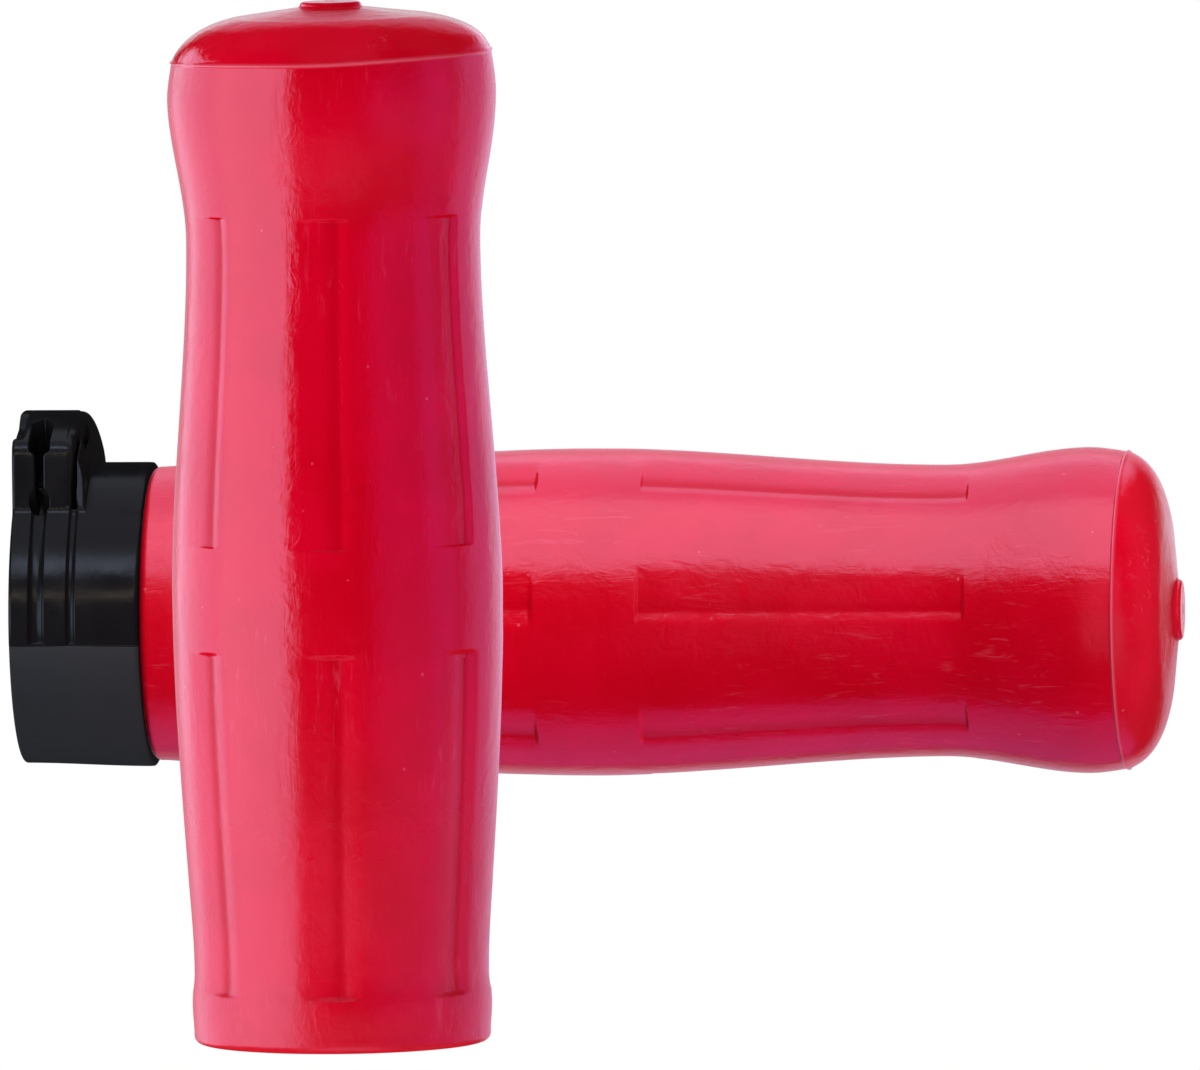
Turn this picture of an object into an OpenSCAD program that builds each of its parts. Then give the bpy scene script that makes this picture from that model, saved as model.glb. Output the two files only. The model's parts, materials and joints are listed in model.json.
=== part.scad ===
// A pair of moulded rubber handlebar grips, laid one across the other.
// The clutch grip lies on top along +Y, and its open rim is centred on the origin.
// The throttle grip lies below it along +X, pressed on its plastic throttle sleeve.
// Millimetres, +Z up. Both grips come out of one mould and differ only in their bore.

/* [Rubber grip] */
// Length of a grip from its open rim to the top of its closed end
grip_length = 125; // [122:0.5:128]
// Radius of the collar at the open rim
collar_r = 17.8; // [17.75:0.05:18.1]
// Radius of the neck next to the collar
neck_r = 17.7; // [17.5:0.05:17.75]
// Radius of the swell that fills the palm
swell_r = 19.8; // [19.5:0.1:20]
// Radius of the waist below the closed end
waist_r = 17.65; // [17.4:0.05:18.2]
// Radius of the flange around the closed end
flange_r = 19.7; // [19.4:0.1:20]
// Thickness of the rubber that closes the end
end_wall = 7; // [5:0.5:9]
// Radius of the plain round boss on the closed end
boss_r = 3.9; // [3:0.1:5]
// Height of the flash line left by the mould around the flange
flash_h = 0.25; // [0.1:0.05:0.4]

/* [Flutes] */
// Number of flutes around the grip in each of its two rows
flute_count = 7; // [6:1:9]
// Depth of a flute at its crease
flute_depth = 0.75; // [0.5:0.05:1.2]
// Width of a flute's gentle side
gentle_w = 5; // [4:0.5:6]
// Width of a flute's steep side
steep_w = 2.4; // [2:0.2:3.4]
// Turn of the clutch grip's flutes about its own axis, in degrees
clutch_turn = 7; // [0:0.5:45]
// Turn of the throttle grip's flutes about its own axis, in degrees
throttle_turn = 85.1; // [40:0.1:90]

/* [Bores] */
// Radius of the clutch grip's bore, pressed on a one inch handlebar
bar_r = 12.7; // [12.5:0.1:12.9]
// Radius of the throttle sleeve's bore, which turns on the same handlebar
sleeve_bore_r = 13; // [12.9:0.1:13.2]
// Outer radius of the sleeve's tube, inside the throttle grip
tube_r = 14.4; // [14.2:0.1:14.8]

/* [Throttle sleeve] */
// Length of the sleeve that stands out of the rubber
drum_length = 15.8; // [14.5:0.1:17]
// Radius of the cable drum and of the collar beside it
drum_r = 18.2; // [18.1:0.1:18.6]
// Outer radius of the ear that holds the cable ends
ear_r = 24.2; // [23.5:0.1:25]
// Width of the ear along the sleeve
ear_w = 8.4; // [8.1:0.1:9]
// Distance of the first cable groove from the sleeve's end face
groove_1 = 3.3; // [3.1:0.1:3.4]
// Distance of the second cable groove from the sleeve's end face
groove_2 = 7.5; // [7.3:0.1:7.6]
// Width of a cable groove
groove_w = 1.7; // [1.4:0.1:1.8]
// Depth of a cable groove in the drum
groove_depth = 1.6; // [1:0.1:2]

/* [Layout] */
// Distance between the axes of the two grips
axis_gap = 38.8; // [38.8:0.1:45]
// Distance of the throttle grip's axis from the clutch grip's open rim
cross_y = 48.5; // [40:0.1:60]
// Distance of the throttle grip's open rim to the left of the clutch grip's axis
rim_x = 26.5; // [22:0.5:40]

/* [Hidden] */
$fn = 96;
rubber = [0.82, 0.03, 0.13];
plastic = [0.05, 0.05, 0.06];
past = 2; // how far a cutter runs past the surface that it cuts

// Outline of the barrel: distance from the closed end, radius, and slope of the radius there
seam = [6.5, flange_r - 0.55, 0.15];
barrel = [
    seam,
    [11.2, flange_r, 0],
    [28.5, waist_r, 0],
    [71, swell_r, 0],
    [grip_length - 19.5, neck_r + 0.56, -0.068],
    [grip_length - 8.7, neck_r, 0],
];
// Rounded shoulder between the face of the closed end and the seam: start and pull point
face_edge = [1.95, 13.4];
shoulder_pull = [2.95, 18];
boss_h = 0.6;
boss_edge = 0.4;
flash_w = 0.7;
collar_l = 6.6;
collar_step = 1.6;
rim_round = 0.5;
bore_depth = grip_length - end_wall;

// The two rows of flutes, as distances from the closed end
upper_row = [25.2, 64.5];
lower_row = [77.3, grip_length - collar_l];
flute_wall = -0.15; // how far the foot of the gentle side's edge lies below the crease's tangent

// A cubic from one barrel station to the next, at t from 0 to 1
function cubic(a, b, t) = let (w = b[0] - a[0])
    (2 * t ^ 3 - 3 * t ^ 2 + 1) * a[1] + (t ^ 3 - 2 * t ^ 2 + t) * w * a[2]
    + (3 * t ^ 2 - 2 * t ^ 3) * b[1] + (t ^ 3 - t ^ 2) * w * b[2];
// Radius of the barrel at a distance s from the closed end
function barrel_r(s) = let (last = len(barrel) - 2)
    let (hits = [for (i = [0:last]) if (s <= barrel[i + 1][0] || i == last) i])
    let (a = barrel[hits[0]], b = barrel[hits[0] + 1])
    cubic(a, b, min(1, (s - a[0]) / (b[0] - a[0])));
function shoulder(t) = (1 - t) ^ 2 * face_edge + 2 * t * (1 - t) * shoulder_pull
    + t ^ 2 * [seam[0], seam[1]];

// Outline points are [distance from the closed end, radius]
boss_points = [[0, 0], [0, boss_r - boss_edge], [boss_edge, boss_r], [boss_h, boss_r]];
shoulder_points = [for (t = [0:0.125:0.875]) shoulder(t)];
flash_points = [
    [seam[0] - flash_w / 2, shoulder(0.93)[1]],
    [seam[0], seam[1] + flash_h],
    [seam[0] + flash_w / 2, barrel_r(seam[0] + flash_w / 2)],
];
barrel_points = [
    for (i = [0:len(barrel) - 2])
        let (a = barrel[i], b = barrel[i + 1], steps = max(2, round((b[0] - a[0]) / 4)))
            for (k = [i == 0 ? 1 : 0:steps - 1])
                let (s = a[0] + (b[0] - a[0]) * k / steps) [s, barrel_r(s)]
];
collar_points = [
    [grip_length - collar_l - collar_step, neck_r],
    [grip_length - collar_l, collar_r],
    [grip_length - rim_round, collar_r],
    [grip_length, collar_r - rim_round],
];
outside = concat(boss_points, shoulder_points, flash_points, barrel_points, collar_points);

// Solid of one grip along +Z, with its open rim at 0 and a blind bore
module grip_blank(bore_r) {
    bore = [[0, bore_r], [bore_depth, bore_r], [bore_depth, 0]];
    outer = [for (p = outside) [p[1], grip_length - p[0]]];
    inner = [for (p = bore) [p[1], p[0]]];
    rotate_extrude() polygon(concat(outer, inner));
}

// Cutter for one flute along +Z: a V whose crease leans with the barrel over the row.
// Its gentle side still has a low wall at its edge, so that the edge is a clean line.
module flute(row) {
    low_r = barrel_r(row[1]) - flute_depth;
    high_r = barrel_r(row[0]) - flute_depth;
    reach = 1.3;
    translate([low_r, 0, grip_length - row[1]])
        rotate([0, atan((high_r - low_r) / (row[1] - row[0])), 0])
            linear_extrude(row[1] - row[0])
                polygon([
                    [0, 0],
                    [flute_depth * reach, steep_w * reach],
                    [flute_depth + past, steep_w * reach],
                    [flute_depth + past, -gentle_w],
                    [flute_wall, -gentle_w],
                ]);
}

// One moulded grip along +Z
module grip(bore_r, turn) {
    difference() {
        grip_blank(bore_r);
        for (row = [upper_row, lower_row], k = [0:flute_count - 1])
            rotate(turn + k * 360 / flute_count) flute(row);
    }
}

// Places a shape drawn along +Z on the clutch axis: its X turns to +Z, its Y to +X
module on_clutch_axis() rotate([0, -90, -90]) children();
// Places a shape drawn along +Z on the throttle axis: its X turns to +Y, its Y to +Z
module on_throttle_axis(x) translate([x, cross_y, -axis_gap]) rotate([90, 0, 90]) children();

module clutch_grip() color(rubber) on_clutch_axis() grip(bar_r, clutch_turn);
module throttle_grip() color(rubber) on_throttle_axis(-rim_x) grip(tube_r, throttle_turn);

// Sleeve: angles are measured from +Y towards +Z, distances from its end face
bore_mouth = 0.6; // chamfer at the mouth of the sleeve's bore
rib_count = 6;
rib_h = 0.2;
rib_w = 1.6;
edge = 0.5;
ear_front = 12.4; // height of the ear's front flank above the sleeve's axis
ear_back = 11.5; // the same behind the axis
ear_corner = 3.4; // rounding of the ear's outer corners
ear_round = 2.2; // slope of the ear's inner shoulder
groove_start = 15; // where the cable grooves start, inside the ear
groove_end = 103; // where they run out, on the underside of the drum
land_start = 103.5;
land_angle = 110;
land_rise = 0.25; // the plain sector past the grooves stands this far proud
window_w = 3;
throat_w = 1.3;
lobe_r = 1.15;
pocket_back = 3;
slit_w = 0.9;

// Tube, collar and drum in one turned outline
module sleeve_turned() {
    length = drum_length + bore_depth - 1;
    rotate_extrude() polygon([
        [sleeve_bore_r + bore_mouth, 0],
        [drum_r - edge, 0],
        [drum_r, edge],
        [drum_r, drum_length],
        [tube_r, drum_length],
        [tube_r, length - edge],
        [tube_r - edge, length],
        [sleeve_bore_r, length],
        [sleeve_bore_r, bore_mouth],
    ]);
}

// Long low ribs that bite into the rubber
module grip_ribs() {
    for (k = [0:rib_count - 1])
        rotate((k + 0.5) * 360 / rib_count)
            translate([tube_r - 1, -rib_w / 2, drum_length + 4])
                cube([1 + rib_h, rib_w, bore_depth - 14]);
}

// The ear seen along the axis: a block with round outer corners
module ear_outline() {
    corner_x = sqrt((ear_r - 0.6 - ear_corner) ^ 2 - (ear_front - ear_corner) ^ 2);
    back_x = sqrt((ear_r - 0.6 - ear_corner) ^ 2 - (ear_back - ear_corner) ^ 2);
    intersection() {
        circle(ear_r);
        union() {
            polygon([
                [0, -ear_back + 1], [back_x, -ear_back], [back_x, -ear_back + ear_corner],
                [ear_r + past, -ear_back + ear_corner], [ear_r + past, ear_front - ear_corner],
                [corner_x, ear_front - ear_corner], [corner_x, ear_front], [0, ear_front - 1.5],
            ]);
            translate([corner_x, ear_front - ear_corner]) circle(ear_corner);
            translate([back_x, -ear_back + ear_corner]) circle(ear_corner);
        }
    }
}

// The ear seen from the side, turned right round: flat end face, sloped inner shoulder
module ear_side() {
    foot = sleeve_bore_r + 1;
    rotate_extrude() polygon([
        [foot, 0],
        [ear_r - edge, 0],
        [ear_r, edge],
        [ear_r, ear_w - ear_round],
        [ear_r - ear_round / 2, ear_w - ear_round / 3],
        [ear_r - ear_round, ear_w],
        [drum_r + 1, ear_w],
        [drum_r - 0.1, ear_w + 0.9],
        [foot, ear_w + 0.9],
    ]);
}

// The raised plain sector of the drum, past the end of the grooves
module land() {
    rotate(land_start) rotate_extrude(angle = land_angle) polygon([
        [drum_r - 1, 0],
        [drum_r + land_rise - edge, 0],
        [drum_r + land_rise, edge],
        [drum_r + land_rise, drum_length],
        [drum_r - 1, drum_length],
    ]);
}

// Cable groove around the drum at a distance z from the end face
module groove_cutter(z) {
    rotate(groove_start) rotate_extrude(angle = groove_end - groove_start)
        translate([drum_r - groove_depth, z - groove_w / 2]) square([groove_depth + past, groove_w]);
}

// Pocket for the first cable end: a wide window, a throat, and a round lobe that meets the groove
module keyhole_cutter() {
    window_x = 17.6;
    lobe_x = 14.6;
    height = ear_front - pocket_back + past;
    translate([window_x, pocket_back, groove_1 - window_w / 2]) cube([ear_r, height, window_w]);
    translate([lobe_x, pocket_back, groove_1 - throat_w / 2]) cube([ear_r, height, throat_w]);
    translate([lobe_x, pocket_back, groove_1]) rotate([-90, 0, 0]) cylinder(r = lobe_r, h = height);
}

// Pocket for the second cable end: a slot that narrows outwards, and a thin slit beside it
module second_pocket_cutter() {
    height = ear_front - pocket_back + past;
    translate([0, pocket_back + height, 0]) rotate([90, 0, 0]) linear_extrude(height)
        polygon([
            [14.5, groove_2 - slit_w * 0.8], [21.6, groove_2 - slit_w * 0.2],
            [21.6, groove_2 + slit_w * 0.2], [14.5, groove_2 + slit_w * 0.6],
        ]);
}

// Shallow dip in the rim of the ear's end wall
module rim_dip_cutter() {
    dip_r = 2.5;
    rotate(17) translate([ear_r + 0.6, 0, -past]) cylinder(r = dip_r, h = past + 1.3);
}

module throttle_sleeve() color(plastic) on_throttle_axis(-rim_x - drum_length) difference() {
    union() {
        sleeve_turned();
        grip_ribs();
        land();
        intersection() {
            linear_extrude(ear_w + 0.9) ear_outline();
            ear_side();
        }
    }
    groove_cutter(groove_1);
    groove_cutter(groove_2);
    keyhole_cutter();
    second_pocket_cutter();
    rim_dip_cutter();
}

clutch_grip();
throttle_grip();
throttle_sleeve();
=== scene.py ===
"""Looks of a pair of moulded handlebar grips, laid one across the other.

Both rubber grips and the throttle sleeve are full meshes that replace their CAD nodes. Each is
worked out in millimetres around its own axis, as rings of points, and then placed in the frame, in
metres. Along a grip, s is the distance from its closed end.
"""
import json
import math

import bpy
import numpy as np
from mathutils import Matrix, Vector


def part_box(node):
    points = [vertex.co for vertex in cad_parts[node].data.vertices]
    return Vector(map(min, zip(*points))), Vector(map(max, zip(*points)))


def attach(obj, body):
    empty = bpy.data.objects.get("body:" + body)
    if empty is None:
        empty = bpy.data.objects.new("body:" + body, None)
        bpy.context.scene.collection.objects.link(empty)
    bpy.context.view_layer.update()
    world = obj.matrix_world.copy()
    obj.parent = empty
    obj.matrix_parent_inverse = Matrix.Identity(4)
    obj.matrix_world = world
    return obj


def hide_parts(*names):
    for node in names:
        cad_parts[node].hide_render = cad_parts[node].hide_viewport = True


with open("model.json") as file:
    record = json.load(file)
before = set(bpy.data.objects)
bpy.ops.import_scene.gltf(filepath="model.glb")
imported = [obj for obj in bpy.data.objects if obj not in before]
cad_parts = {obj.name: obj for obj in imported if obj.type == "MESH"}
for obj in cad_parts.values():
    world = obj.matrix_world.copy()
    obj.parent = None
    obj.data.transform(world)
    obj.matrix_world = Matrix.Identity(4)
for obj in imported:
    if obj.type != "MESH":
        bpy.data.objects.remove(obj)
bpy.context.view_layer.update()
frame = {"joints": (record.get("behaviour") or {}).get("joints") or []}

MM = 0.001
CLUTCH_LOW, CLUTCH_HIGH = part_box("clutch_grip")
THROTTLE_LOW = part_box("throttle_grip")[0]
SLEEVE_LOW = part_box("throttle_sleeve")[0]
TWIST_AT = next(j for j in frame["joints"] if j["name"] == "throttle_twist")["pos_m"]

# ---------------------------------------------------------------- sizes, in millimetres
GRIP_LENGTH = (CLUTCH_HIGH[1] - CLUTCH_LOW[1]) / MM
END_WALL = 7.0
BAR_R = 12.7
SLEEVE_BORE_R = 13.0
TUBE_R = 14.4
COLLAR_L = 6.6
COLLAR_STEP = 0.28
COLLAR_TAPER = 0.2
NECK_R = 17.7
SWELL_R = 19.8
WAIST_R = 17.65
FLANGE_R = 19.7
SEAM_AT = 6.5
SEAM_R = FLANGE_R - 0.55
# The dome past the seam: where its flat face ends, and the point that pulls its shoulder out, (s, r)
DOME_FACE_EDGE = (1.75, 11.9)
DOME_SHOULDER_PULL = (2.93, 17.85)
BOSS_R = 3.9
BOSS_H = 0.65
CAP_SKEW = 1.9  # degrees by which the moulded cap sits askew

# Stations along the barrel, each (s, radius, slope)
BARREL = (
    (SEAM_AT, SEAM_R, 0.15),
    (11.2, FLANGE_R, 0.0),
    (28.5, WAIST_R, 0.0),
    (71.0, SWELL_R, 0.0),
    (GRIP_LENGTH - 19.5, NECK_R + 0.56, -0.068),
    (GRIP_LENGTH - 8.7, NECK_R, 0.0),
)

FLUTE_COUNT = 7
CLUTCH_TURN = 7.0
THROTTLE_TURN = 85.1
# Each row of flutes: its start and end, the gentle side's width at those two, a small turn of the
# row in degrees, the steep side's width and the depth
FLUTE_ROWS = (
    (25.2, 64.5, 4.9, 6.2, 0.3, 1.4, 0.32),
    (77.3, GRIP_LENGTH - COLLAR_L, 4.2, 4.8, -0.9, 2.4, 0.50),
)

DRUM_L = (THROTTLE_LOW[0] - SLEEVE_LOW[0]) / MM
DRUM_R = 18.2
EAR_R = 24.7
EAR_FRONT = 12.4
EAR_BACK = 11.5
EAR_FLAT_W = 6.6
EAR_SLOPE_W = 2.3
POCKET_FLOOR_R = 16.6
# Each cable groove: its distance from the sleeve's end, half width and depth
GROOVE_1 = (3.3, 0.9, 0.45)
GROOVE_2 = (7.5, 0.5, 0.35)
# The plain sector past the grooves, in degrees around the sleeve
LAND_START = 98.0
LAND_ANGLE = 110.0


# ---------------------------------------------------------------- small maths
def smoothstep(x):
    x = np.clip(x, 0.0, 1.0)
    return x * x * (3 - 2 * x)


def smooth_min(a, b, k):
    h = np.clip(0.5 + 0.5 * (b - a) / k, 0.0, 1.0)
    return b * (1 - h) + a * h - k * h * (1 - h)


def smooth_max(a, b, k):
    return -smooth_min(-a, -b, k)


def between(x, low, high, soft):
    """1 where x lies between low and high, with edges that are soft wide."""
    return smoothstep((x - low) / soft + 0.5) * smoothstep((high - x) / soft + 0.5)


def waves(x, y, seed, count=10, reach=1.0):
    """A smooth repeatable wobble from -1 to 1 over two coordinates; y is an angle in radians."""
    rng = np.random.default_rng(seed)
    total = 0.0
    for _ in range(count):
        turns = rng.integers(0, 7)
        pace = rng.uniform(-reach, reach)
        total = total + np.sin(x * pace + y * turns + rng.uniform(0, 2 * math.pi))
    return total / count


# ---------------------------------------------------------------- meshes
def ring_mesh(name, rings, start_pole=None, end_pole=None, loop=False):
    """A smooth mesh of quads over rings of points, closed around each ring.

    A pole closes an end with a fan. With loop, the last ring joins the first instead.
    """
    count, size = rings.shape[:2]
    points = [rings.reshape(-1, 3)]
    around = np.arange(size)
    after = np.roll(around, -1)
    last = count if loop else count - 1
    base = (np.arange(last) * size)[:, None]
    above = ((np.arange(last) + 1) % count * size)[:, None]
    quads = np.stack([base + around, base + after, above + after, above + around], -1)
    corners = [quads.reshape(-1)]
    sizes = [np.full(last * size, 4)]
    total = count * size
    for pole, row, flip in ((start_pole, 0, True), (end_pole, count - 1, False)):
        if pole is None:
            continue
        points.append(np.array([pole], float))
        fan = np.stack([row * size + around, row * size + after, np.full(size, total)], -1)
        corners.append((fan[:, ::-1] if flip else fan).reshape(-1))
        sizes.append(np.full(size, 3))
        total += 1
    points = np.concatenate(points) * MM
    corners = np.concatenate(corners)
    sizes = np.concatenate(sizes)
    mesh = bpy.data.meshes.new(name)
    mesh.vertices.add(len(points))
    mesh.vertices.foreach_set("co", points.reshape(-1))
    mesh.loops.add(len(corners))
    mesh.loops.foreach_set("vertex_index", corners.astype(np.int32))
    mesh.polygons.add(len(sizes))
    starts = np.concatenate([[0], np.cumsum(sizes)[:-1]])
    mesh.polygons.foreach_set("loop_start", starts.astype(np.int32))
    mesh.update(calc_edges=True)
    mesh.polygons.foreach_set("use_smooth", np.ones(len(sizes), bool))
    thing = bpy.data.objects.new(name, mesh)
    bpy.context.scene.collection.objects.link(thing)
    return thing


def add_attribute(thing, name, values):
    """A float per vertex, or a vector per vertex, for the material to read."""
    values = np.asarray(values, float)
    kind = "FLOAT_VECTOR" if values.ndim == 2 else "FLOAT"
    field = "vector" if values.ndim == 2 else "value"
    attribute = thing.data.attributes.new(name, kind, "POINT")
    full = np.zeros((len(thing.data.vertices),) + values.shape[1:])
    full[: len(values)] = values
    attribute.data.foreach_set(field, full.reshape(-1))


def place(thing, origin, axes):
    """Moves a mesh drawn along +Z so that its X, Y and Z point along axes, from origin."""
    turn = Matrix([[axes[c][r] for c in range(3)] for r in range(3)]).to_4x4()
    thing.data.transform(Matrix.Translation(Vector(origin)) @ turn)
    thing.data.update()


X, Y, Z = (1, 0, 0), (0, 1, 0), (0, 0, 1)
CLUTCH_AXES = (Z, X, Y)
THROTTLE_AXES = (Y, Z, X)


# ---------------------------------------------------------------- rubber grip
def cubic(a, b, at):
    """Radius at a distance between stations a and b, each (distance, radius, slope)."""
    width = b[0] - a[0]
    t = (at - a[0]) / width
    return (
        (2 * t**3 - 3 * t**2 + 1) * a[1]
        + (t**3 - 2 * t**2 + t) * width * a[2]
        + (3 * t**2 - 2 * t**3) * b[1]
        + (t**3 - t**2) * width * b[2]
    )


def barrel_r(s):
    """Radius of the barrel at s, with the collar's soft step and its slight taper."""
    r = np.full_like(s, NECK_R)
    for a, b in zip(BARREL, BARREL[1:]):
        inside = (s >= a[0]) & (s < b[0])
        r[inside] = cubic(a, b, s[inside])
    past_step = s - GRIP_LENGTH + COLLAR_L
    step = COLLAR_STEP * smoothstep((past_step + 1.6) / 3.0)
    taper = COLLAR_TAPER * smoothstep((past_step - 2) / 4)
    return r + step - taper


def barrel_stations():
    """Distances along the barrel: close together at the seam and at the ends of the flutes."""
    walls = [row[k] for row in FLUTE_ROWS for k in (0, 1)]
    coarse = np.arange(SEAM_AT + 0.8, GRIP_LENGTH - 1.05, 0.75)
    fine = [np.arange(-0.6, 0.61, 0.1) + wall for wall in walls]
    near_seam = np.arange(SEAM_AT, SEAM_AT + 0.8, 0.06)
    keep = np.all([np.abs(coarse - wall) > 0.7 for wall in walls], axis=0)
    return np.sort(np.concatenate([coarse[keep], near_seam, *fine]))


def arc_points(centre, radius, start, end, count):
    """Points (s, r) on an arc around centre; angles in degrees, 0 along +s and 90 along +r."""
    angles = np.radians(np.linspace(start, end, count))
    return [(centre[0] + radius * math.cos(a), centre[1] + radius * math.sin(a)) for a in angles]


def grip_outline(bore_r):
    """Points (s, r) from the boss, over the outside and the rim, to the bottom of the bore.

    Also gives how many of them lie on the outside.
    """
    boss = [(0.0, r) for r in (0.8, 1.6, 2.4, 3.0)]
    boss += arc_points((0.5, BOSS_R - 0.7), 0.5, 180, 90, 7)
    boss += [(BOSS_H - 0.12, BOSS_R - 0.12), (BOSS_H, BOSS_R + 0.02), (BOSS_H + 0.06, BOSS_R + 0.3)]
    foot = np.array(boss[-1])
    face_edge = np.array(DOME_FACE_EDGE)
    face = [tuple(foot * (1 - t) + face_edge * t) for t in np.linspace(0.06, 1, 14)]
    shoulder = []
    for t in np.linspace(0, 1, 40)[1:-1]:
        bend = [(1 - t) ** 2 * a + 2 * t * (1 - t) * b + t**2 * c
                for a, b, c in zip(DOME_FACE_EDGE, DOME_SHOULDER_PULL, (SEAM_AT, SEAM_R))]
        shoulder.append(tuple(bend))
    s = barrel_stations()
    barrel = list(zip(s, barrel_r(s)))
    rim_r = barrel[-1][1]
    rim = arc_points((GRIP_LENGTH - 1.0, rim_r - 1.0), 1.0, 85, 0, 8)
    rim += [(GRIP_LENGTH, r) for r in np.linspace(rim_r - 1.4, bore_r + 0.9, 6)]
    rim += arc_points((GRIP_LENGTH - 0.4, bore_r + 0.4), 0.4, 0, -90, 5)
    bore = [(s, bore_r) for s in np.linspace(GRIP_LENGTH - 2, END_WALL + 0.6, 30)]
    floor = arc_points((END_WALL + 0.5, bore_r - 0.5), 0.5, 90, 180, 4)
    floor += [(END_WALL, r) for r in (bore_r * 0.7, bore_r * 0.4, bore_r * 0.1)]
    outside = len(boss) + len(face) + len(shoulder) + len(barrel)
    return np.array(boss + face + shoulder + barrel + rim + bore + floor), outside


def flute_shape(s, angle, r):
    """How far into a flute a point lies, 0 on the plain barrel and 1 at the crease, and the depth.

    The angle is in degrees from a crease.
    """
    pitch = 360 / FLUTE_COUNT
    shape = 0.0
    cut = 0.0
    for start, end, wide_start, wide_end, row_turn, steep_w, depth in FLUTE_ROWS:
        off = (angle - row_turn + pitch / 2) % pitch - pitch / 2
        arc = np.radians(off) * r
        along = np.clip((s - start) / (end - start), 0, 1)
        gentle_w = wide_start + (wide_end - wide_start) * along
        sides = smooth_min(1 + arc / gentle_w, 1 - arc / steep_w, 0.2)
        profile = smooth_max(sides, 0.0, 0.24)
        row = np.clip(profile, 0, 1) * between(s, start, end, 0.3 * steep_w)
        shape = np.maximum(shape, row)
        cut = np.maximum(cut, row * depth)
    return shape, cut


def make_grip(name, bore_r, turn, skew_turn, dulled, origin, axes, seed):
    """One rubber grip. The turns are in degrees; dulled is the least wear of its surface."""
    outline, outside = grip_outline(bore_r)
    angle = np.arange(0, 360, 0.5)
    s = outline[:, 0][:, None]
    r = outline[:, 1][:, None]
    theta = np.radians(angle)[None, :]
    skin = np.zeros_like(s)
    skin[:outside] = 1.0
    flute, cut = flute_shape(s, angle[None, :], r)
    flute = flute * skin
    seam_at = SEAM_AT + 0.12 * waves(0 * s, theta, seed, 8)
    flash = 0.2 + 0.1 * waves(0 * s, theta, seed + 1, 12)
    ridge = flash * np.exp(-(((s - seam_at) / 0.17) ** 2)) * skin
    in_ripple = between(s, 60, 84, 16) * skin
    ripple = 0.05 * waves(s, theta, seed + 2, 14, 0.9) * in_ripple
    sway = 0.04 * waves(s, theta, seed + 3, 10, 0.12) * skin * smoothstep(r / 12)
    radius = r - cut * skin + ridge + ripple + sway
    turned = theta + math.radians(turn)
    askew = math.tan(math.radians(CAP_SKEW)) * (1 - smoothstep((s - 6) / 12)) * skin
    askew = askew * (0.25 + 0.75 * smoothstep(s / 5))
    height = GRIP_LENGTH - s + askew * radius * np.sin(turned - math.radians(skew_turn))
    rings = np.stack([radius * np.cos(turned), radius * np.sin(turned), height], -1)
    grip = ring_mesh(name, rings[::-1], (0, 0, GRIP_LENGTH - END_WALL), (0, 0, GRIP_LENGTH))
    add_attribute(grip, "flute", flute[::-1].reshape(-1))
    add_attribute(grip, "ridge", (ridge / 0.25)[::-1].reshape(-1))
    # The open half and a band at the flange are worn duller
    wear = np.maximum(smoothstep((s - 60) / 50), 0.35 * between(s, 9, 23, 8))
    wear = np.maximum(wear, dulled) + 0 * theta
    add_attribute(grip, "wear", wear[::-1].reshape(-1))
    around = np.stack([radius * np.cos(theta), radius * np.sin(theta), height + seed * 50.0], -1)
    add_attribute(grip, "skin", around[::-1].reshape(-1, 3))
    place(grip, origin, axes)
    return grip


# ---------------------------------------------------------------- throttle sleeve
def sleeve_angles():
    """Angles around the sleeve in degrees, closer together over the ear and at the land's ends."""
    land_ends = (LAND_START, LAND_START + LAND_ANGLE)
    ear = np.arange(-45, 60, 0.2)
    rest = np.arange(60, 315, 0.75)
    fine = [np.arange(-0.6, 0.61, 0.1) + end for end in land_ends]
    keep = np.all([np.abs(rest - end) > 0.7 for end in land_ends], axis=0)
    return np.sort(np.concatenate([ear, rest[keep], *fine]))


def ear_radius(angle, z):
    """Outer radius of the ear, a block with round corners and a sloped inner shoulder.

    The angle is in degrees from the ear's middle, negative at its back.
    """
    rad = np.radians(angle)
    front = np.where(rad > 0.05, EAR_FRONT / np.sin(np.maximum(rad, 0.05)), 1e3)
    back = np.where(rad < -0.05, EAR_BACK / np.sin(np.maximum(-rad, 0.05)), 1e3)
    side = np.minimum(np.minimum(front, back), 40.0)
    side = np.where(np.cos(rad) > 0, side, 0.0)
    r = smooth_min(side, EAR_R, 2.0)
    past_flat = np.clip((z - EAR_FLAT_W) / EAR_SLOPE_W, 0, 1)
    fall = np.clip(1 - past_flat**2.6, 0, 1) ** 0.5
    shoulder = np.where(z < EAR_FLAT_W, 1e3, DRUM_R + (EAR_R - DRUM_R) * fall)
    r = smooth_min(r, np.minimum(shoulder, 40.0), 0.5)
    dip = between(angle, 9, 24, 7) * (1 - smoothstep((z - 0.7) / 0.9))
    return r - 1.3 * dip


def groove_cut(z, groove):
    """Depth of a round-bottomed groove across z, with eased lips."""
    at, half, depth = groove
    across = np.abs(z - at) / half
    return depth * np.sqrt(np.clip(1 - across**2, 0, 1)) * smoothstep((1.25 - across) / 0.4)


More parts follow.
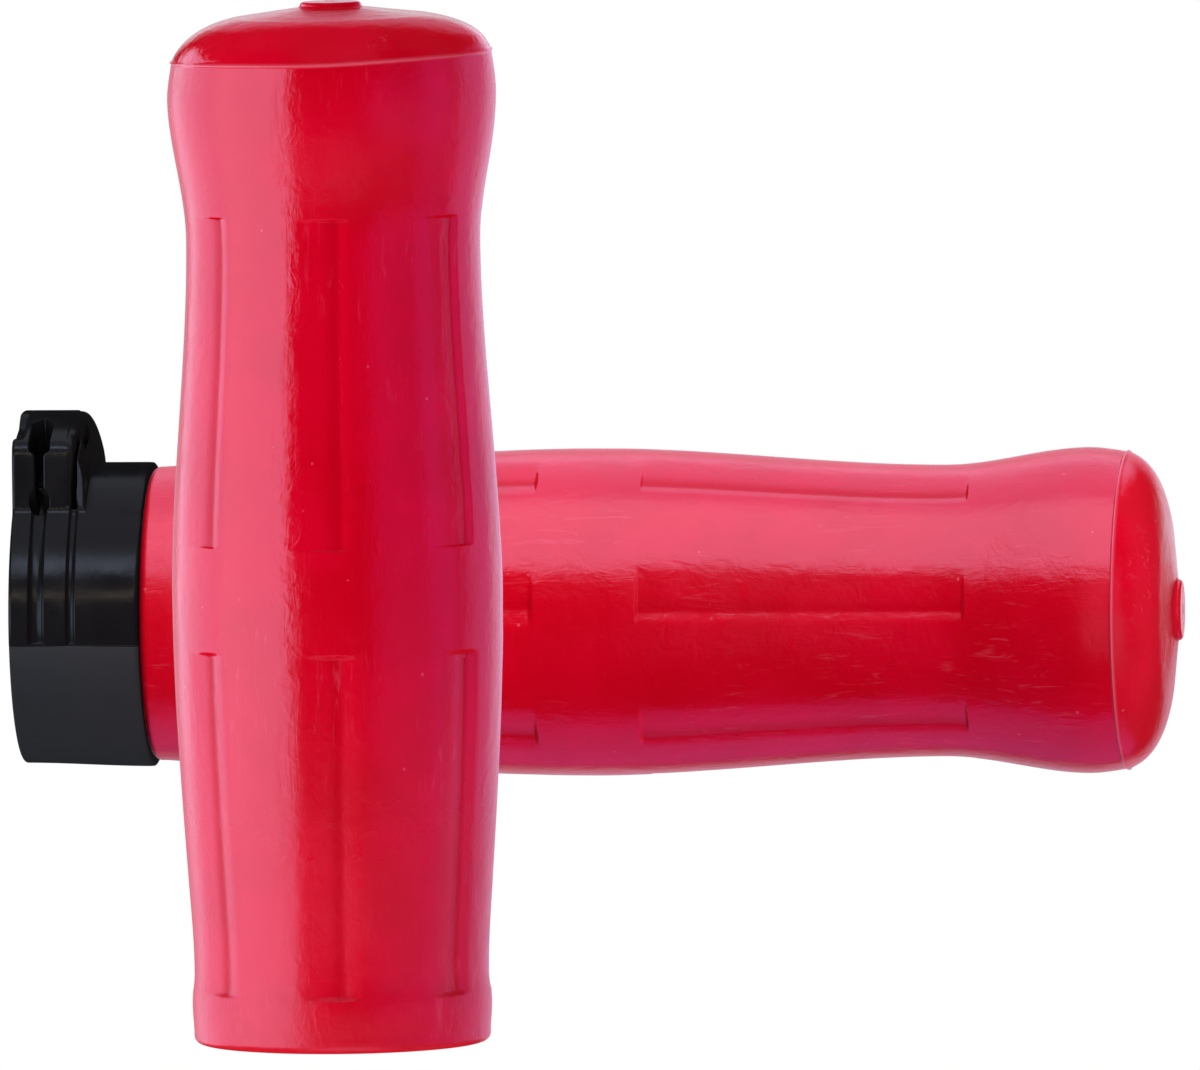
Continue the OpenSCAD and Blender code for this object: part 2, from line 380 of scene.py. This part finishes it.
def sleeve_radius(angle, z):
    """Outer radius of the sleeve, and masks of its land and pockets.

    The angle is in degrees from +Y towards +Z, and z is the distance from the sleeve's end.
    """
    signed = np.where(angle > 180, angle - 360, angle)
    r = smooth_max(DRUM_R + 0.0 * angle * z, ear_radius(signed, z), 0.7)
    rad = np.radians(signed)
    # The pockets open on the front of the ear; lift is the distance of that surface from the axis
    lift = np.minimum(EAR_R, np.where(rad > 0.3, EAR_FRONT / np.sin(np.maximum(rad, 0.3)), 1e3))
    lift = lift * np.cos(rad)

    # First pocket: window, throat and lobe
    window = 1.2 * smoothstep((lift - 20.0) / 1.2) * smoothstep((24.2 - lift) / 0.5)
    throat = 0.5 * between(lift, 15.0, 23.4, 0.6)
    lobe = np.sqrt(np.clip(1.2**2 - ((lift - 14.6) / 1.35) ** 2, 0, None))
    half_1 = np.maximum(np.maximum(window, throat), lobe) * (rad > 0.1) * (rad < 1.0)
    slot_1 = smoothstep((half_1 - np.abs(z - GROOVE_1[0])) / 0.22 + 0.3) * (half_1 > 0.05)
    r = r + (np.minimum(r, POCKET_FLOOR_R) - r) * slot_1

    # Second pocket: a slot that narrows outwards between two flared lips, and a thin slit beside it
    reach_2 = between(lift, 14.0, 22.9, 0.5) * (rad > 0.1) * (rad < 0.9)
    half_2 = (0.1 + 0.03 * np.clip(22.0 - lift, 0, 5)) * reach_2
    at_2 = GROOVE_2[0] + 0.05 * np.clip(lift - 16, 0, 6)
    slot_2 = smoothstep((half_2 - np.abs(z - at_2)) / 0.2 + 0.5) * (half_2 > 0.05)
    lips = np.clip(1 - np.abs(z - at_2) / 1.05, 0, 1) * reach_2
    r = r - 0.35 * lips
    r = r + (np.minimum(r, POCKET_FLOOR_R) - r) * slot_2
    slit = between(z, 8.0, 8.45, 0.2) * between(angle, 7, 21, 1.5)
    r = r - 2.2 * slit

    # Cable grooves around the drum
    open_part = between(angle, 20, LAND_START - 0.4, 0.6)
    on_drum = open_part * smoothstep((19.2 - r) / 0.6)
    r = r - (groove_cut(z, GROOVE_1) + groove_cut(z, GROOVE_2)) * on_drum

    # The plain sector past the grooves
    land = between(angle, LAND_START, LAND_START + LAND_ANGLE, 0.5)
    land_r = DRUM_R - 0.25 + 0.45 * smoothstep(z / DRUM_L)
    r = r + (land_r + 0.12 - r) * land
    return r, land + 0 * z, np.maximum(slot_1, slot_2) + 0 * z


def make_sleeve():
    """The sleeve as one loop of rings: along the bore, around its end, back over the outside."""
    angle = sleeve_angles()[None, :]
    theta = np.radians(angle)
    edge = 0.35
    z_outer = np.concatenate([np.arange(edge, 9.6, 0.1), np.arange(9.6, DRUM_L - 0.25, 0.4)])
    outer_r, land, pocket = sleeve_radius(angle, z_outer[:, None])
    rings, satin_and_painted_reflection, pocket_shade = [], [], []

    def add(radius, height, land_row=0.0, pocket_shade_row=0.0):
        radius = radius + 0 * angle[0]
        rings.append(np.stack([radius * np.cos(theta[0]), radius * np.sin(theta[0]),
                               height + 0 * radius], -1))
        satin_and_painted_reflection.append(land_row + 0 * angle[0])
        pocket_shade.append(pocket_shade_row + 0 * angle[0])

    tube_end = DRUM_L + GRIP_LENGTH - END_WALL - 1.0
    for height in np.linspace(tube_end - 0.4, 0.8, 40):
        add(SLEEVE_BORE_R, height)
    add(SLEEVE_BORE_R + 0.15, 0.3)
    add(SLEEVE_BORE_R + 0.5, 0.04)
    add(SLEEVE_BORE_R + 0.9, 0.0)
    first = outer_r[0] + 0.0
    for share in np.linspace(0.1, 0.95, 8):
        flat = SLEEVE_BORE_R + 0.9 + (first - edge - SLEEVE_BORE_R - 0.9) * share
        add(flat, 0.0)
    for bend in np.radians(np.linspace(0, 75, 5)):
        add(first - edge + edge * math.sin(bend), edge - edge * math.cos(bend), land[0])
    for row, height in enumerate(z_outer):
        add(outer_r[row], height, land[row], pocket[row])
    last = outer_r[-1]
    add(last - 0.03, DRUM_L - 0.12, land[-1])
    add(last - 0.18, DRUM_L, land[-1])
    add(TUBE_R + 1.5, DRUM_L)
    add(TUBE_R, DRUM_L)
    for height in np.linspace(DRUM_L + 1, tube_end - 0.4, 24):
        add(TUBE_R, height)
    add(TUBE_R - 0.3, tube_end)
    add(SLEEVE_BORE_R + 0.2, tube_end)
    sleeve = ring_mesh("sleeve_moulding", np.array(rings), loop=True)
    # The land mask carries a rougher finish and a painted reflection
    add_attribute(sleeve, "satin_and_painted_reflection", np.array(satin_and_painted_reflection).reshape(-1))
    # The pocket mask carries painted shade for the pocket floors
    add_attribute(sleeve, "pocket", np.array(pocket_shade).reshape(-1))
    place(sleeve, SLEEVE_ORIGIN, THROTTLE_AXES)
    return sleeve


# ---------------------------------------------------------------- materials
RUBBER_DEEP = (0.63, 0.0, 0.012)
RUBBER_BRIGHT = (0.69, 0.0, 0.018)
RUBBER_CREASE_SHADE = (0.36, 0.0, 0.004)
RUBBER_SCUFF = (0.80, 0.13, 0.20)
RUBBER_FLASH = (0.85, 0.14, 0.22)
RUBBER_SPECK = (0.80, 0.20, 0.25)


def new_material(name):
    """A material with one Principled shader: the material, its node tree and the shader."""
    material = bpy.data.materials.new(name)
    material.use_nodes = True
    tree = material.node_tree
    tree.nodes.clear()
    output = tree.nodes.new("ShaderNodeOutputMaterial")
    shader = tree.nodes.new("ShaderNodeBsdfPrincipled")
    tree.links.new(shader.outputs[0], output.inputs["Surface"])
    return material, tree, shader


def node(tree, kind, **settings):
    made = tree.nodes.new(kind)
    for key, value in settings.items():
        setattr(made, key, value)
    return made


def read(tree, name):
    return node(tree, "ShaderNodeAttribute", attribute_name=name)


def noise(tree, vector, scale, detail=4.0, roughness=0.5, distortion=0.0):
    made = node(tree, "ShaderNodeTexNoise")
    tree.links.new(vector, made.inputs["Vector"])
    made.inputs["Scale"].default_value = scale
    made.inputs["Detail"].default_value = detail
    made.inputs["Roughness"].default_value = roughness
    made.inputs["Distortion"].default_value = distortion
    return made.outputs["Fac"]


def ranged(tree, value, low, high, to_low, to_high):
    made = node(tree, "ShaderNodeMapRange", interpolation_type="SMOOTHSTEP")
    tree.links.new(value, made.inputs["Value"])
    for key, number in (("From Min", low), ("From Max", high), ("To Min", to_low), ("To Max", to_high)):
        made.inputs[key].default_value = number
    return made.outputs["Result"]


def maths(tree, operation, a, b):
    made = node(tree, "ShaderNodeMath", operation=operation)
    for slot, value in zip(made.inputs, (a, b)):
        if isinstance(value, (int, float)):
            slot.default_value = value
        else:
            tree.links.new(value, slot)
    return made.outputs[0]


def mix_colour(tree, factor, a, b):
    """Colour a turned towards colour b by factor; each is plain or a socket to link."""
    made = node(tree, "ShaderNodeMix", data_type="RGBA")
    # The node also has float and vector sockets of the same names; 6 and 7 are its colours
    for at, value in ((0, factor), (6, a), (7, b)):
        socket = made.inputs[at]
        if isinstance(value, (int, float)):
            socket.default_value = value
        elif isinstance(value, tuple):
            socket.default_value = (*value, 1.0)
        else:
            tree.links.new(value, socket)
    return made.outputs[2]


def stretched(tree, vector, scale):
    made = node(tree, "ShaderNodeMapping")
    tree.links.new(vector, made.inputs["Vector"])
    made.inputs["Scale"].default_value = scale
    return made.outputs["Vector"]


def bump(tree, height, strength, distance, under=None):
    made = node(tree, "ShaderNodeBump")
    made.inputs["Strength"].default_value = strength
    made.inputs["Distance"].default_value = distance
    tree.links.new(height, made.inputs["Height"])
    if under is not None:
        tree.links.new(under, made.inputs["Normal"])
    return made.outputs["Normal"]


def rubber_material():
    material, tree, shader = new_material("red_rubber_moulding")
    skin = read(tree, "skin").outputs["Vector"]
    flute = read(tree, "flute").outputs["Fac"]
    ridge = read(tree, "ridge").outputs["Fac"]
    wear = read(tree, "wear").outputs["Fac"]
    cloudy = noise(tree, skin, 0.09, 3.0)
    blotch = noise(tree, skin, 0.33, 4.0, 0.6, 0.6)
    grain = noise(tree, skin, 4.0, 4.0, 0.7)
    speck = node(tree, "ShaderNodeTexVoronoi", feature="F1")
    tree.links.new(skin, speck.inputs["Vector"])
    speck.inputs["Scale"].default_value = 0.22
    pale_speck = ranged(tree, speck.outputs["Distance"], 0.02, 0.06, 1.0, 0.0)
    mottle = ranged(tree, cloudy, 0.35, 0.65, 0.0, 1.0)
    base = mix_colour(tree, mottle, RUBBER_DEEP, RUBBER_BRIGHT)
    # Painted shade: the base colour turns darker towards each flute's crease, where shade falls into
    # the recess
    crease = ranged(tree, flute, 0.6, 0.95, 0.0, 0.3)
    base = mix_colour(tree, crease, base, RUBBER_CREASE_SHADE)
    # Faint whitish scuffs: short streaks along the grip, in a few patches
    streaks = noise(tree, stretched(tree, skin, (0.9, 0.9, 0.14)), 1.0, 5.0, 0.65, 1.2)
    patches = ranged(tree, noise(tree, skin, 0.06, 2.0), 0.48, 0.66, 0.0, 1.0)
    scuff = maths(tree, "MULTIPLY", ranged(tree, streaks, 0.54, 0.72, 0.0, 1.0), patches)
    base = mix_colour(tree, maths(tree, "MULTIPLY", scuff, 0.24), base, RUBBER_SCUFF)
    base = mix_colour(tree, maths(tree, "MULTIPLY", ridge, 0.8), base, RUBBER_FLASH)
    base = mix_colour(tree, maths(tree, "MULTIPLY", pale_speck, 0.35), base, RUBBER_SPECK)
    tree.links.new(base, shader.inputs["Base Color"])
    patchy = ranged(tree, blotch, 0.3, 0.75, 0.13, 0.08)
    rough = maths(tree, "ADD", patchy, maths(tree, "MULTIPLY", wear, 0.20))
    tree.links.new(rough, shader.inputs["Roughness"])
    fine = bump(tree, grain, 0.4, 0.000014)
    streaky = bump(tree, streaks, 0.35, 0.00009, fine)
    soft = bump(tree, blotch, 0.7, 0.00015, streaky)
    tree.links.new(soft, shader.inputs["Normal"])
    shader.inputs["IOR"].default_value = 1.5
    # Painted shade too: the reflection is made weaker in the flute creases
    gloss = ranged(tree, flute, 0.6, 0.95, 0.88, 0.4)
    tree.links.new(gloss, shader.inputs["Specular IOR Level"])
    shader.inputs["Specular Tint"].default_value = (1.0, 0.66, 1.0, 1.0)
    return material


def plastic_material():
    material, tree, shader = new_material("black_plastic_moulding")
    position = node(tree, "ShaderNodeTexCoord").outputs["Object"]
    satin_and_painted_reflection = read(tree, "satin_and_painted_reflection").outputs["Fac"]
    pocket = read(tree, "pocket").outputs["Fac"]
    cloudy = noise(tree, position, 260.0, 4.0, 0.6)
    grain = noise(tree, position, 5200.0, 3.0, 0.6)
    base = mix_colour(tree, cloudy, (0.006, 0.006, 0.007), (0.009, 0.009, 0.010))
    # Painted reflection: the plain land's lighter bluish grey stands in for the pale surroundings
    # reflected there; its higher roughness below is the rougher finish of that sector
    base = mix_colour(tree, satin_and_painted_reflection, base, (0.026, 0.030, 0.035))
    # Painted shade: the pocket floors are turned near black, where shade falls into the hollows
    base = mix_colour(tree, pocket, base, (0.004, 0.004, 0.004))
    tree.links.new(base, shader.inputs["Base Color"])
    gloss = ranged(tree, cloudy, 0.3, 0.7, 0.16, 0.26)
    rough = maths(tree, "ADD", gloss, maths(tree, "MULTIPLY", satin_and_painted_reflection, 0.22))
    tree.links.new(rough, shader.inputs["Roughness"])
    wavy = bump(tree, cloudy, 0.12, 0.0004)
    tree.links.new(bump(tree, grain, 0.10, 0.00002, wavy), shader.inputs["Normal"])
    shader.inputs["IOR"].default_value = 1.5
    return material


# ---------------------------------------------------------------- the object
CLUTCH_ORIGIN = (0.0, CLUTCH_LOW[1], 0.0)
THROTTLE_ORIGIN = (THROTTLE_LOW[0], TWIST_AT[1], TWIST_AT[2])
SLEEVE_ORIGIN = (SLEEVE_LOW[0], TWIST_AT[1], TWIST_AT[2])
RUBBER = rubber_material()
PLASTIC = plastic_material()

clutch = make_grip("clutch_grip_moulding", BAR_R, CLUTCH_TURN, 0, 0.0, CLUTCH_ORIGIN, CLUTCH_AXES, 1)
throttle = make_grip("throttle_grip_moulding", TUBE_R, THROTTLE_TURN, 180, 0.45, THROTTLE_ORIGIN,
                     THROTTLE_AXES, 5)
sleeve = make_sleeve()
for piece, body, cad_node, slot_name, material in (
    (clutch, "clutch_side", "clutch_grip", "red_rubber", RUBBER),
    (throttle, "throttle_side", "throttle_grip", "red_rubber", RUBBER),
    (sleeve, "throttle_side", "throttle_sleeve", "black_plastic", PLASTIC),
):
    piece.data.materials.append(material)
    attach(piece, body)
    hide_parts(cad_node)
for grip in (clutch, throttle):
    grip.visible_glossy = False


# ---------------------------------------------------------------- floor, light and camera
WORLD_LIGHT = 0.012
FLOOR_LIGHT = 1.0
FLOOR_HALF = 2.0
FLOOR_GAP = 0.0003
LIT_MIDDLE = (0.03, 0.06, 0.0)
CAMERA_MIDDLE = (0.0317, 0.0608, 0.0)
CAMERA_OFFSET = (0.360, 0.276, 3.600)
CAMERA_ROLL = -0.65  # degrees
CAMERA_WIDTH = 0.1437  # of the picture, where the camera looks
# Each softbox: its middle, size, radiance, the pieces it lights and whether it shows in their gloss.
# The grips lie in separate light, one from the left and one from above.
CLUTCH, THROTTLE, SLEEVE = "clutch_grip_moulding", "throttle_grip_moulding", "sleeve_moulding"
SOFTBOXES = (
    ("key_left", (-0.97, 0.06, 0.66), (1.3, 1.3), (1.95, 2.0, 2.1), (CLUTCH,), True),
    ("rim_left", (-1.06, 0.06, -0.49), (1.3, 1.3), (1.45, 1.5, 1.9), (CLUTCH,), True),
    ("side_right", (1.15, 0.06, 0.55), (0.7, 1.6), (0.16, 0.06, 0.28), (CLUTCH,), True),
    ("rim_right", (1.15, 0.06, -0.35), (1.2, 1.6), (0.20, 0.06, 0.27), (CLUTCH,), True),
    ("back_right", (0.70, 0.06, -0.95), (0.9, 1.6), (0.42, 0.26, 0.5), (CLUTCH,), True),
    ("cap_glow", (0.0, 0.62, -1.15), (0.8, 0.45), (0.35, 0.24, 0.34), (CLUTCH,), True),
    ("cap_fill", (0.1, 1.3, 0.5), (1.2, 1.2), (2.4, 2.4, 2.4), (CLUTCH,), False),
    ("back_glow", (0.03, -0.15, -1.6), (2.4, 0.7), (0.55, 0.45, 0.55), (CLUTCH,), True),
    ("face_glow", (0.03, 0.35, -1.6), (1.2, 0.3), (0.75, 0.95, 1.0), (CLUTCH,), True),
    ("under_glow", (0.03, 0.05, -1.6), (1.0, 2.4), (0.6, 0.48, 0.6), (THROTTLE,), True),
    ("key_top", (0.03, 1.10, 0.56), (1.3, 1.3), (2.1, 2.0, 2.1), (THROTTLE,), True),
    ("rim_top", (0.03, 1.05, -0.55), (1.3, 1.3), (0.9, 0.85, 1.2), (THROTTLE,), True),
    ("rim_low", (0.03, -1.1, -0.35), (1.6, 1.3), (0.50, 0.13, 0.52), (THROTTLE,), True),
    ("end_glow", (0.27, 0.05, -1.6), (0.28, 0.9), (0.25, 0.40, 0.42), (THROTTLE,), True),
    ("sky", (-0.1, 1.10, 0.0), (1.6, 1.9), (0.25, 0.27, 0.32), (SLEEVE,), True),
    ("cool_strip", (-0.1, 1.39, 1.45), (1.5, 0.42), (1.3, 1.5, 2.0), (SLEEVE,), True),
    ("warm_strip", (-0.1, 0.78, 2.04), (1.5, 0.09), (2.4, 2.1, 1.6), (SLEEVE,), True),
    ("left_strip", (-1.15, 0.1, 0.9), (0.6, 1.8), (0.9, 1.0, 1.3), (SLEEVE,), True),
    ("sleeve_fill", (-0.2, -0.1, 1.6), (1.6, 1.6), (2.8, 2.8, 2.8), (SLEEVE,), False),
    ("fill_low", (0.12, -1.2, 1.15), (1.6, 1.6), (3.1, 3.1, 3.1), (CLUTCH,), False),
    ("fill_side", (0.95, 0.05, 1.35), (1.6, 1.6), (2.35, 2.35, 2.35), (THROTTLE,), False),
    ("fill_right", (1.3, -0.6, 0.8), (1.2, 1.2), (0.8, 0.8, 0.8), (CLUTCH,), False),
    ("fill_end", (1.3, -0.6, 0.8), (1.2, 1.2), (1.4, 1.4, 1.4), (THROTTLE,), False),
)


def add_floor():
    low = min(THROTTLE_LOW[2], SLEEVE_LOW[2]) - FLOOR_GAP
    mesh = bpy.data.meshes.new("floor")
    corners = [(x * FLOOR_HALF, y * FLOOR_HALF, low) for x, y in ((-1, -1), (1, -1), (1, 1), (-1, 1))]
    mesh.from_pydata(corners, [], [(0, 1, 2, 3)])
    floor = bpy.data.objects.new("floor", mesh)
    bpy.context.scene.collection.objects.link(floor)
    material, tree, shader = new_material("pale_floor")
    shader.inputs["Base Color"].default_value = (0.03, 0.03, 0.03, 1)
    shader.inputs["Roughness"].default_value = 0.9
    shader.inputs["Emission Color"].default_value = (1, 1, 1, 1)
    shader.inputs["Emission Strength"].default_value = FLOOR_LIGHT
    floor.data.materials.append(material)
    floor.visible_glossy = False
    floor.visible_shadow = False


def add_light(name, at, size, radiance, lights, shows):
    """A rectangular softbox facing the object; it lights, and is shaded by, only the pieces named."""
    strength = max(radiance)
    light = bpy.data.lights.new(name, "AREA")
    light.shape = "RECTANGLE"
    light.size, light.size_y = size
    light.energy = strength * math.pi * size[0] * size[1]
    light.color = [part / strength for part in radiance]
    lamp = bpy.data.objects.new(name, light)
    lamp.location = at
    towards = Vector(LIT_MIDDLE) - Vector(at)
    lamp.rotation_euler = towards.to_track_quat("-Z", "Y").to_euler()
    lamp.visible_glossy = shows
    lamp.visible_camera = False
    group = bpy.data.collections.new("lit_by_" + name)
    for piece in lights:
        group.objects.link(bpy.data.objects[piece])
    lamp.light_linking.receiver_collection = group
    lamp.light_linking.blocker_collection = group
    bpy.context.scene.collection.objects.link(lamp)


def add_world():
    world = bpy.data.worlds.new("studio")
    world.use_nodes = True
    background = world.node_tree.nodes["Background"]
    background.inputs["Color"].default_value = (0.92, 0.94, 1.0, 1)
    background.inputs["Strength"].default_value = WORLD_LIGHT
    bpy.context.scene.world = world


def add_camera():
    middle = Vector(CAMERA_MIDDLE)
    offset = Vector(CAMERA_OFFSET)
    roll = math.radians(CAMERA_ROLL)
    data = bpy.data.cameras.new("camera")
    data.sensor_width = 36.0
    data.lens = data.sensor_width * offset.length / CAMERA_WIDTH
    data.clip_end = 10.0
    camera = bpy.data.objects.new("camera", data)
    back = offset.normalized()
    right = Vector(Y).cross(back).normalized()
    facing = Matrix([right, back.cross(right), back]).transposed().to_4x4()
    camera.matrix_world = Matrix.Translation(middle + offset) @ facing @ Matrix.Rotation(roll, 4, "Z")
    bpy.context.scene.collection.objects.link(camera)
    bpy.context.scene.camera = camera


add_floor()
add_world()
for softbox in SOFTBOXES:
    add_light(*softbox)
add_camera()
bpy.context.scene.view_settings.view_transform = "Standard"
